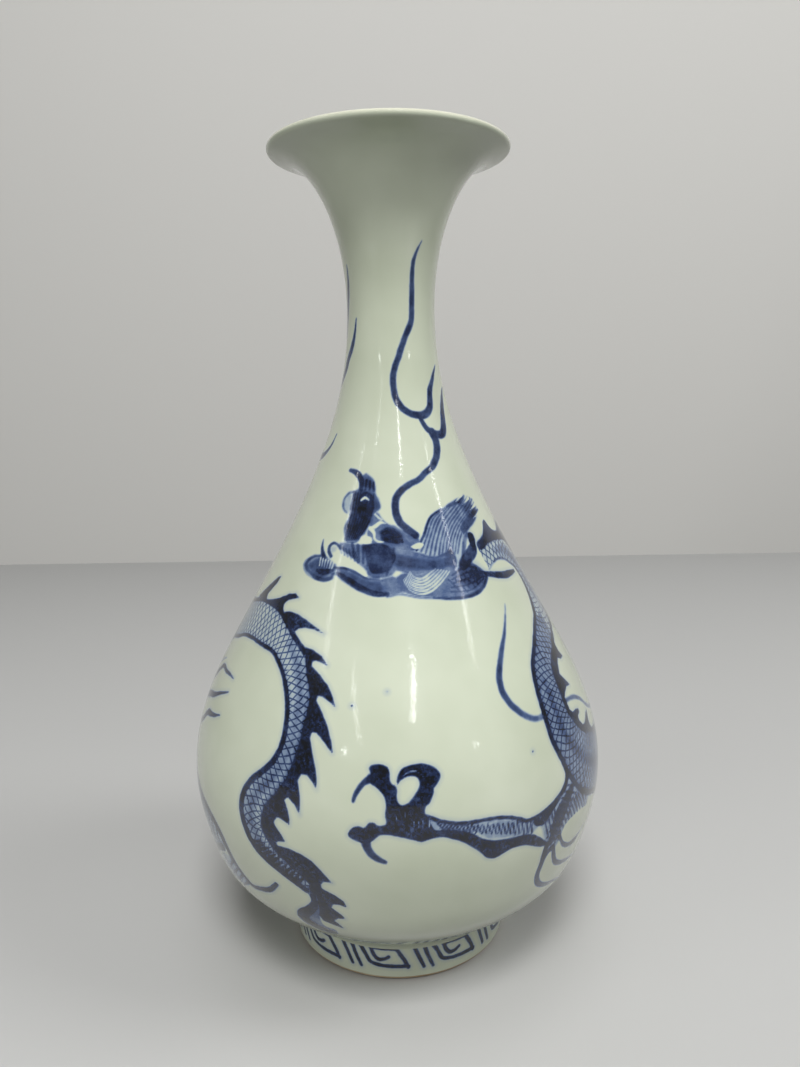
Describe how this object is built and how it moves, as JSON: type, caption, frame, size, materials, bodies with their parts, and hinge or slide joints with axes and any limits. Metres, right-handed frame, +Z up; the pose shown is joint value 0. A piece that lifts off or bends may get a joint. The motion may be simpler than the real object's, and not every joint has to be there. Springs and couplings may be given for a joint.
{
  "type": "yuhuchunping vase",
  "caption": "Pear-shaped porcelain bottle vase with a slender neck, a flaring trumpet mouth and a low foot ring, glazed inside and out.",
  "frame": {"origin": "centre of the foot ring, on the surface that the vase stands on", "axes": "+Z up along the axis of the thrown body, -Y towards the viewer of the side with the dragon's head, +X to that viewer's right"},
  "size_m": [0.1522, 0.1522, 0.29],
  "materials": {
    "clay_body": "fired porcelain clay, matt and unglazed",
    "luting_slip": "fired porcelain slip, matt",
    "glaze": "glossy pale green-white glaze"
  },
  "bodies": {
    "root": {"foot_ring": "clay_body", "belly_section": "clay_body", "shoulder_section": "clay_body", "neck_section": "clay_body", "foot_slip_joint": "luting_slip", "belly_slip_joint": "luting_slip", "neck_slip_joint": "luting_slip", "outer_glaze": "glaze", "inner_glaze": "glaze", "base_glaze": "glaze"}
  },
  "joints": []
}
